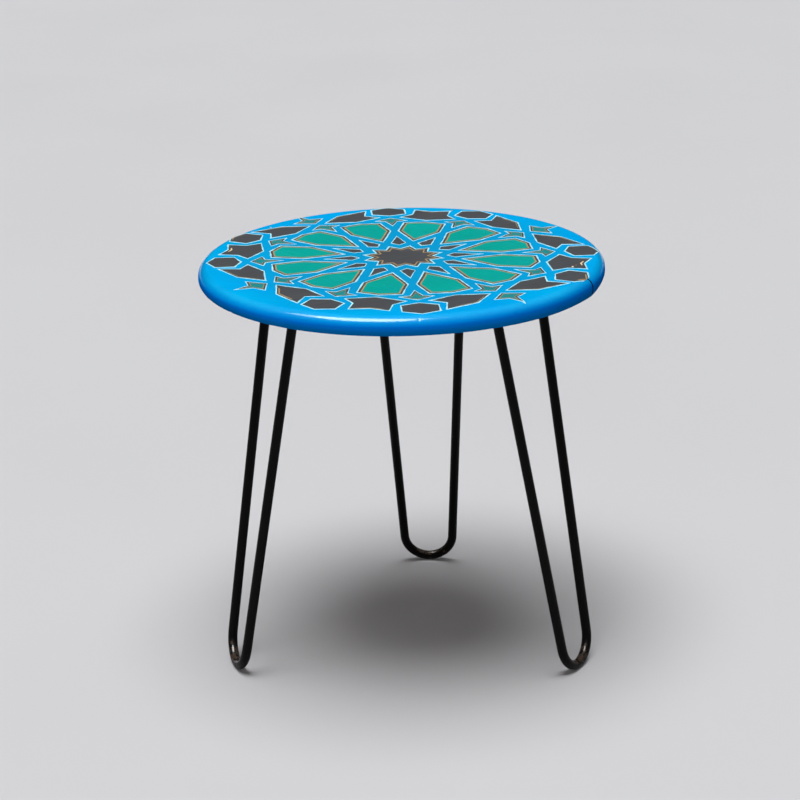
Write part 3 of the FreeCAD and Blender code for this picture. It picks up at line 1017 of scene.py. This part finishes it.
def unsteady(outer, inner):
    """Draws the two rails of a line nearer together or farther apart along it, as a brush is pressed."""
    least, most = PRESSED_WIDTH
    for i in range(len(outer)):
        middle = outer[i].lerp(inner[i], 0.5)
        press = noise.noise(Vector((middle.x / PRESS_RUN, middle.y / PRESS_RUN, PRESS_LAYER)))
        set_width(outer, inner, i, least + (most - least) * held(0.5 + PRESS_SWING * press))


# How a brushed line lies: share of its width, and share of its height
BEAD_SECTION = ((0, -1), (0.10, 0.7), (0.34, 1), (0.66, 1), (0.90, 0.7), (1, -1))


def lay_line(build, outer, inner, lift, closed=True):
    """A painted line between two rails, as a low bead that is closed all round."""
    rows = []
    for share, height in BEAD_SECTION:
        rows.append(build.row([lifted(a.lerp(b, share), height * lift) for a, b in zip(outer, inner)]))
    build.skin(rows, wrapped=True, closed=closed)
    if not closed:
        build.face([row[0] for row in rows])
        build.face([row[-1] for row in reversed(rows)])


def inside(point, outline, room):
    """Whether a point lies in an outline, with a little room to its edge."""
    crossings = 0
    for a, b in zip(outline, outline[1:] + outline[:1]):
        if (a.y > point.y) != (b.y > point.y):
            if point.x < a.x + (point.y - a.y) * (b.x - a.x) / (b.y - a.y):
                crossings += 1
        edge = b - a
        share = held((point - a).dot(edge) / max(edge.length_squared, NO_LENGTH))
        if (point - a - edge * share).length < room:
            return False
    return crossings % 2 == 1


def lay_field(build, outline, lift):
    """A painted field inside an outline, a thin closed film that follows the skin."""
    low = Vector((min(p.x for p in outline), min(p.y for p in outline)))
    high = Vector((max(p.x for p in outline), max(p.y for p in outline)))
    drawn = list(outline)
    farthest = max(point.length for point in outline) * MM
    grid = RIM_GRID if farthest > FLAT_RADIUS - RIM_GRID * MM else FLAT_GRID
    for column in range(int((high.x - low.x) / grid) + 1):
        for line in range(int((high.y - low.y) / grid) + 1):
            point = low + Vector(((column + 0.5) * grid, (line + 0.5) * grid))
            if inside(point, outline, grid / 3):
                drawn.append(point)
    points, triangles, _ = fill(drawn, ring_edges(len(outline)), FIELD_CLOSENESS)
    top = build.row([lifted(point, lift) for point in points])
    bottom = build.row([lifted(point, -lift) for point in points])
    uses = {}
    for triangle in triangles:
        build.face([top[i] for i in triangle])
        build.face([bottom[i] for i in reversed(triangle)])
        for a, b in zip(triangle, triangle[1:] + triangle[:1]):
            uses.setdefault(frozenset((a, b)), []).append((a, b))
    for way in uses.values():
        if len(way) == 1:
            a, b = way[0]
            build.face([top[b], top[a], bottom[a], bottom[b]])


# Films of paint on the board, and the paint of each
FILMS = {
    "charcoal_fields": "charcoal_field_paint",
    "green_fields": "green_field_paint",
    "dull_green_fields": "dull_green_field_paint",
    "gold_lines": "gold_line_paint",
    "cream_touches": "cream_touch_paint",
    "pale_lines": "pale_line_paint",
    "primer_flecks": "chipped_primer",
    "wood_flecks": "chipped_bare_wood",
}

# Coats in the order they were painted, with the height of each above the board in millimetres
CHARCOAL_LIFT = 0.12
GREEN_LIFT = 0.18
GOLD_LIFT = 0.24
PALE_LIFT = 0.30
CHIP_LIFT = 0.26

# Where lines begin and end, in from a cell's edge
PALE_LINE = (-1.25, 0.65)
FINE_PALE_LINE = (-0.95, 0.4)
FINELY_LINED = ("kite", "dart", "corner_star")
GOLD_LINES = {
    "star": (3.2, 4.9),
    "petal": (2.6, 4.6),
    "dart": (2.2, 2.8),
    "corner_star": (2.1, 3.1),
}
GREEN_FIELDS = {"petal": "green_fields", "dart": "dull_green_fields", "corner_star": "dull_green_fields"}
GREEN_LAPS = 0.3
GOLD_TOUCHES = {
    "arrow": {"edges": (3, 4, 5), "cover": 0.8, "depth": 1.7, "width": 1.3},
    "side_arrow": {"edges": (3, 4, 5), "cover": 0.5, "depth": 2.4, "width": 2.3},
    "bold_hexagon": {"edges": (2, 3, 4), "cover": 0.75, "depth": 1.8, "width": 1.7},
    "flank": {"edges": (3, 4, 5), "cover": 0.8, "depth": 1.8, "width": 0.8},
    "other_flank": {"edges": (0, 1, 2), "cover": 0.8, "depth": 1.8, "width": 0.8},
    "bold_flank": {"edges": (0, 1, 2), "cover": 0.8, "depth": 1.9, "width": 1.9},
}
TOUCH_FADES_OVER = 2
TOUCH_LEAST = 0.12


def touch_up(build, corners, edges, cover, depth, width):
    """A short gold line just inside two of a dark cell's edges, thinning out at both ends."""
    rails = []
    for outline in (inset(corners, depth), inset(corners, depth + width), corners):
        start, bend, end = [outline[i] for i in edges]
        rails.append([bend.lerp(start, cover), bend, bend.lerp(end, cover)])
    outer, inner, like = rails
    near = dotted(outer, like, GOLD_INNER, closed=False)
    far = dotted(inner, like, GOLD_INNER, closed=False)
    for i in range(len(near)):
        to_end = min(i, len(near) - 1 - i)
        set_width(near, far, i, min(1.0, to_end / TOUCH_FADES_OVER + TOUCH_LEAST))
    lay_line(build, near, far, GOLD_LIFT, closed=False)


def paint_star(films):
    """Paints each cell: its dark field, its pale outline, and the gold and green inside."""
    for kind, corners in star_cells():
        lay_field(films["charcoal_fields"], dotted(corners, corners, CHARCOAL_COAT), CHARCOAL_LIFT)
        outside, within = FINE_PALE_LINE if kind in FINELY_LINED else PALE_LINE
        outer = dotted(inset(corners, outside), corners, PALE_OUTER)
        inner = dotted(inset(corners, within), corners, PALE_INNER)
        unsteady(outer, inner)
        lay_line(films["pale_lines"], outer, inner, PALE_LIFT)
        if kind in GOLD_LINES:
            near, far = GOLD_LINES[kind]
            outer = dotted(inset(corners, near), corners, GOLD_OUTER)
            inner = dotted(inset(corners, far), corners, GOLD_INNER)
            lay_line(films["gold_lines"], outer, inner, GOLD_LIFT)
            if kind in GREEN_FIELDS:
                outline = dotted(inset(corners, far - GREEN_LAPS), corners, GREEN_COAT)
                lay_field(films[GREEN_FIELDS[kind]], outline, GREEN_LIFT)
        if kind in GOLD_TOUCHES:
            film = "cream_touches" if kind == "side_arrow" else "gold_lines"
            touch_up(films[film], corners, **GOLD_TOUCHES[kind])


# Flecks where the paint has come away, down to the primer or the wood
PAINT_CHIPS = (
    {"at": (185.4, -54.3), "size": 1.7, "film": "primer_flecks"},
    {"at": (189.6, -48.6), "size": 0.8, "film": "wood_flecks"},
    {"at": (-151.0, 139.0), "size": 0.9, "film": "primer_flecks"},
    {"at": (62.0, 196.0), "size": 0.8, "film": "wood_flecks"},
)
CHIP_CORNERS = 9
CHIP_TURN = 0.3
CHIP_RAGGED = 0.55
CHIP_LONGER = 1.3
CHIP_CORNERS_APART = 1.7
CHIPS_APART = 3.1
CHIP_LAYER = 0.6


def chip_paint(films):
    for number, chip in enumerate(PAINT_CHIPS):
        outline = []
        for corner, angle in enumerate(around(CHIP_CORNERS, CHIP_TURN * number)):
            spot = Vector((corner * CHIP_CORNERS_APART, number * CHIPS_APART, CHIP_LAYER))
            ragged = 1 + CHIP_RAGGED * noise.noise(spot)
            way = Vector((math.cos(angle), CHIP_LONGER * math.sin(angle)))
            outline.append(Vector(chip["at"]) + way * (chip["size"] * ragged))
        lay_field(films[chip["film"]], outline, CHIP_LIFT)


films = {name: Build() for name in FILMS}
paint_star(films)
chip_paint(films)
for name, film in films.items():
    make_piece(name, film, [PAINT[FILMS[name]]])


# The legs

ROD_SIDES = 24
BEND_STEPS = 28
PRONG_STEPS = 6


class Leg:
    """Where one leg stands: the middle of its plate, the line of its prongs and the way it leans."""

    def __init__(self, angle, inset, twist, splay):
        out = math.radians(angle)
        turn = math.radians(angle + QUARTER_TURN + twist)
        reach = DRAWN_RADIUS - inset
        self.plate = Vector((reach * math.cos(out), reach * math.sin(out), PLATE_BOTTOM))
        self.along = heading(turn).to_3d()
        self.across = Vector((-math.sin(turn), math.cos(turn), 0))
        lean = math.radians(splay)
        self.down = -self.across * math.sin(lean) - Vector((0, 0, math.cos(lean)))
        self.bend_depth = (PLATE_BOTTOM - ROD_RADIUS) / math.cos(lean) - BEND_RADIUS
        self.facing = self.along.cross(self.down)

    def on_plate(self, point, height=0.0):
        """A point drawn on the plate's lower face, raised by a height."""
        return self.plate + self.along * point.x + self.across * point.y + Vector((0, 0, height))

    def on_bend(self, angle):
        """A point of the bend in the leg's own plane, aside along the prongs and down the slope."""
        return Vector((BEND_RADIUS * math.cos(angle), self.bend_depth - BEND_RADIUS * math.sin(angle)))

    def touch_angle(self):
        """Angle at which a prong leaves the bend, from the line of the prongs."""
        far = math.hypot(HALF_SPACING, self.bend_depth)
        to_weld = math.atan2(self.bend_depth, HALF_SPACING)
        return to_weld - math.acos(BEND_RADIUS / far)

    def rod_line(self):
        """Points down one prong, round the bend and up the other, with the way the rod runs at each."""
        touch = self.touch_angle()
        weld = Vector((HALF_SPACING, 0))
        leave = self.on_bend(touch)
        line = []
        for step in range(PRONG_STEPS):
            line.append((weld.lerp(leave, step / PRONG_STEPS), (leave - weld).normalized()))
        mirror = [(Vector((-p.x, p.y)), Vector((d.x, -d.y))) for p, d in reversed(line)]
        for step in range(BEND_STEPS + 1):
            angle = touch - (math.pi + 2 * touch) * step / BEND_STEPS
            line.append((self.on_bend(angle), Vector((math.sin(angle), math.cos(angle)))))
        placed = []
        for place, way in line + mirror:
            centre = self.plate + self.along * place.x + self.down * place.y
            placed.append((centre, (self.along * way.x + self.down * way.y).normalized()))
        return placed


def bend_rod(leg):
    """A rod bent into a hairpin, its ends cut level against the plate."""
    build = Build()
    line = leg.rod_line()
    rows = []
    for number, (centre, run) in enumerate(line):
        beside = leg.facing.cross(run).normalized()
        row = []
        for angle in around(ROD_SIDES):
            row.append(centre + (leg.facing * math.cos(angle) + beside * math.sin(angle)) * ROD_RADIUS)
        if number in (0, len(line) - 1):
            row = [point + run * ((PLATE_BOTTOM - point.z) / run.z) for point in row]
        rows.append(build.row(row))
    build.skin(rows)
    build.face(rows[0])
    build.face(list(reversed(rows[-1])))
    return build


# The plates

HOLE_STEPS = 20
CORNER_STEPS = 6
HOLE_MIDDLES = [Vector((x * HOLE_ALONG, y * HOLE_ACROSS)) for x in BOTH_WAYS for y in BOTH_WAYS]

# Levels of a plate from its lower face up, and how much its edges are eased at each
PLATE_LEVELS = ((0.0, PLATE_BEVEL), (PLATE_BEVEL, 0.0), (UNDERSIDE - PLATE_BOTTOM, 0.0))


def plate_loops(ease):
    """The plate's outline and then its screw holes, with their edges eased."""
    outline = []
    for quarter, (x, y) in enumerate(QUARTERS):
        middle = Vector((x * (PLATE_HALF_LENGTH - PLATE_CORNER), y * (PLATE_HALF_WIDTH - PLATE_CORNER)))
        for step in range(CORNER_STEPS + 1):
            angle = math.radians(QUARTER_TURN * quarter + QUARTER_TURN * step / CORNER_STEPS)
            outline.append(middle + heading(angle) * (PLATE_CORNER - ease))
    loops = [outline]
    for middle in HOLE_MIDDLES:
        loops.append([middle + heading(angle) * (HOLE_RADIUS + ease) for angle in around(HOLE_STEPS)])
    return loops


def cut_plate(leg):
    """A steel plate with eased edges, rounded corners and four screw holes."""
    build = Build()
    flats = [plate_loops(ease) for _, ease in PLATE_LEVELS]
    walls = []
    for loops in zip(*flats):
        rows = []
        for (height, _), loop in zip(PLATE_LEVELS, loops):
            rows.append(build.row([leg.on_plate(point, height) for point in loop]))
        build.skin(rows)
        walls.append(rows)
    for level in (0, -1):
        drawn = []
        edges = []
        loop_of = []
        for number, loop in enumerate(flats[level]):
            edges += ring_edges(len(loop), len(drawn))
            drawn += [point / MM for point in loop]
            loop_of += [number] * len(loop)
        indices = [index for rows in walls for index in rows[level]]
        _, triangles, origins = fill(drawn, edges, METAL_CLOSENESS)
        for triangle in triangles:
            corners = [origins[i][0] for i in triangle]
            touched = {loop_of[corner] for corner in corners}
            if len(touched) > 1 or 0 in touched:
                build.face([indices[corner] for corner in corners])
    return build


# The welds

WELD_STEPS = 96
WELD_RIPPLES = 17
WELD_LEAST = 0.88
WELD_RIPPLE = 0.10
WELD_SWAY = 0.06
WELD_SWAYS_ROUND = 2
WELDS_APART = 50
WELD_OVERLAP = 0.6 * MM

# A weld's face from the plate to the rod, as shares of its size out from the rod and down from the plate
WELD_FACE = ((1, 0), (0.94, 0.20), (0.62, 0.58), (0.26, 0.90))


def lay_welds(leg):
    """A fillet weld round each prong, laid in overlapping ripples."""
    build = Build()
    line = leg.rod_line()
    for centre, run in (line[0], line[-1]):
        if run.z > 0:
            run = -run
        rings = []
        for angle in around(WELD_STEPS):
            way = leg.along * math.cos(angle) + leg.across * math.sin(angle)
            spot = Vector((way.x * WELD_SWAYS_ROUND, way.y * WELD_SWAYS_ROUND, centre.x * WELDS_APART))
            sway = noise.noise(spot)
            ripple = abs(math.sin(WELD_RIPPLES * angle / 2 + sway))
            size = WELD_SIZE * (WELD_LEAST + WELD_RIPPLE * ripple + WELD_SWAY * sway)
            section = [(ROD_RADIUS - WELD_OVERLAP, 0.0)]
            section += [(ROD_RADIUS + size * out, size * drop) for out, drop in WELD_FACE]
            section += [(ROD_RADIUS - WELD_OVERLAP, size)]
            rings.append([centre + run * (drop / -run.z) + way * reach for reach, drop in section])
        build.skin([build.row(row) for row in zip(*rings)], wrapped=True)
    return build


# The screws

HEAD_STEPS = 32
CROWN_RING = 0.8
RECESS_REACH = 2.3 * MM
RECESS_HALF = 0.55 * MM
RECESS_DEPTH = 1.5 * MM
RECESS_TAPER = 0.72
FIRST_SCREW_TURN = 0.4
NEXT_SCREW_TURN = 2.4


def cross_outline(share):
    reach = RECESS_REACH * share
    half = RECESS_HALF * share
    corner = [(reach, -half), (reach, half), (half, half)]
    points = []
    for quarter in range(4):
        turn = Matrix.Rotation(math.pi / 2 * quarter, 2)
        points += [turn @ Vector(point) for point in corner]
    return points


def crown_height(reach):
    """How far the head stands off the plate, at a distance from its middle."""
    rise = SCREW_HEAD_HEIGHT - SCREW_HEAD_RIM
    ball = (SCREW_HEAD_RADIUS ** 2 + rise ** 2) / (2 * rise)
    return SCREW_HEAD_RIM + math.sqrt(ball ** 2 - reach ** 2) - (ball - rise)


def lay_screw_head(build, middle, turn):
    """A pan head with a cross recess, seated on the plate."""
    spin = Matrix.Rotation(turn, 2)

    def put(flat, drop):
        spun = spin @ flat
        return middle + Vector((spun.x, spun.y, -drop))

    rim = [heading(angle) * SCREW_HEAD_RADIUS for angle in around(HEAD_STEPS)]
    ring = [point * CROWN_RING for point in rim]
    mouth = cross_outline(1.0)
    seat = build.row([put(point, 0.0) for point in rim])
    brim = build.row([put(point, SCREW_HEAD_RIM) for point in rim])
    build.face(list(reversed(seat)))
    build.skin([seat, brim])
    lip = build.row([put(point, crown_height(point.length)) for point in mouth])
    crown = build.row([put(point, crown_height(point.length)) for point in ring])
    indices = brim + lip + crown
    drawn = [point / MM for point in rim + mouth + ring]
    edges = ring_edges(HEAD_STEPS) + ring_edges(len(mouth), HEAD_STEPS)
    points, triangles, origins = fill(drawn, edges, METAL_CLOSENESS)
    cross = set(range(HEAD_STEPS, HEAD_STEPS + len(mouth)))
    for triangle in triangles:
        corners = [origins[i][0] for i in triangle]
        centre = sum((points[i] for i in triangle), Vector((0, 0))) / 3 * MM
        in_recess = cross.issuperset(corners) and min(abs(centre.x), abs(centre.y)) <= RECESS_HALF
        if not in_recess:
            build.face([indices[i] for i in corners])
    base = build.row([put(point, SCREW_HEAD_HEIGHT - RECESS_DEPTH) for point in cross_outline(RECESS_TAPER)])
    build.skin([lip, base])
    build.face(base)


# Pieces of each leg: how each is built, its finish, its slot, the node it stands for and its crease
LEG_PIECES = {
    "rod": (bend_rod, rod_finish, "black_steel_rod", "hairpin_rod", SOFT_CREASE),
    "plate": (cut_plate, plate_finish, "black_steel_plate", "mounting_plate", SOFT_CREASE),
    "welds": (lay_welds, weld_finish, "black_weld", "weld_beads", WELD_CREASE),
}


def make_legs():
    screws = Build()
    screw_turn = FIRST_SCREW_TURN
    for side, place in LEGS.items():
        leg = Leg(**place)
        for piece, (make, finish, slot, node, crease) in LEG_PIECES.items():
            make_piece(f"{piece}_{side}", make(leg), [finish], [f"{node}_{side}"], crease)
        for hole in HOLE_MIDDLES:
            lay_screw_head(screws, leg.on_plate(hole), screw_turn)
            screw_turn += NEXT_SCREW_TURN
    make_piece("screw_heads", screws, [screw_finish], ["wood_screws"])


make_legs()


# The floor, the light and the camera

FLOOR_HALF = 20.0
STUDIO_LIGHTS = {
    "near_panel": {"way": (-0.19, -0.24, 1.0), "strength": 0.6, "width": 26, "shows_in": "both"},
    "left_panel": {"way": (-0.52, 0.04, 1.0), "strength": 0.5, "width": 19, "shows_in": "gloss"},
    "gloss_panel": {"way": (-0.21, -0.16, 1.0), "strength": 3.0, "width": 37, "shows_in": "gloss"},
    "overhead_panel": {"way": (-0.03, -0.07, 1.0), "strength": 2.3, "width": 40, "shows_in": "colour"},
    "front_fill": {"way": (-0.16, -1.0, 0.12), "strength": 1.3, "width": 50, "shows_in": "colour"},
}
HORIZON_TONE = (0.005, 0.005, 0.005, 1)
ZENITH_TONE = (0.24, 0.24, 0.24, 1)
ZENITH_OVER = (0.35, 0.95)
CAMERA_PLACE = Vector((-0.0020, -2.366, 1.134))
CAMERA_LENS = 99.86
CAMERA_SENSOR = 36
CAMERA_SEES_TO = 100
CAMERA_PITCH = math.radians(19.647)
CAMERA_YAW = math.radians(-0.080)
CAMERA_ROLL = math.radians(1.44)


def make_floor():
    mesh = bpy.data.meshes.new("floor")
    corners = [(x * FLOOR_HALF, y * FLOOR_HALF, 0) for x, y in QUARTERS]
    mesh.from_pydata(corners, [], [(0, 1, 2, 3)])
    mesh.materials.append(floor_finish)
    floor = bpy.data.objects.new("floor", mesh)
    scene.collection.objects.link(floor)


def make_light(name, way, strength, width, shows_in):
    """Soft light from a wide panel, which shows in the colours, in the gloss or in both."""
    lamp = bpy.data.lights.new(name, "SUN")
    lamp.energy = strength
    lamp.angle = math.radians(width)
    holder = bpy.data.objects.new(name, lamp)
    holder.rotation_euler = (-Vector(way)).to_track_quat("-Z", "Y").to_euler()
    holder.visible_glossy = shows_in != "colour"
    holder.visible_diffuse = shows_in != "gloss"
    scene.collection.objects.link(holder)


def make_world():
    """A dim room that is lighter overhead, and a pale backdrop to the eye."""
    world = bpy.data.worlds.new("soft_room")
    world.use_nodes = True
    nodes = Nodes(world.node_tree)
    nodes.tree.nodes.clear()
    up = nodes.along("Z", nodes.add("ShaderNodeTexCoord").outputs["Generated"])
    tone = nodes.blend(nodes.map_range(up, *ZENITH_OVER), HORIZON_TONE, ZENITH_TONE)
    ray = nodes.add("ShaderNodeLightPath").outputs
    seen = nodes.blend(ray["Is Camera Ray"], tone, BACKDROP_TONE)
    background = nodes.add("ShaderNodeBackground", {"Color": seen, "Strength": 1.0})
    nodes.add("ShaderNodeOutputWorld", {"Surface": background.outputs[0]})
    scene.world = world


def make_camera():
    camera = bpy.data.cameras.new("camera")
    camera.sensor_width = CAMERA_SENSOR
    camera.lens = CAMERA_LENS
    camera.clip_end = CAMERA_SEES_TO
    yaw = Matrix.Rotation(-CAMERA_YAW, 4, "Z")
    pitch = Matrix.Rotation(math.pi / 2 - CAMERA_PITCH, 4, "X")
    roll = Matrix.Rotation(-CAMERA_ROLL, 4, "Z")
    holder = bpy.data.objects.new("camera", camera)
    holder.matrix_world = Matrix.Translation(CAMERA_PLACE) @ yaw @ pitch @ roll
    scene.collection.objects.link(holder)
    scene.camera = holder


make_floor()
for name, light in STUDIO_LIGHTS.items():
    make_light(name, **light)
make_world()
make_camera()
scene.view_settings.view_transform = "Standard"
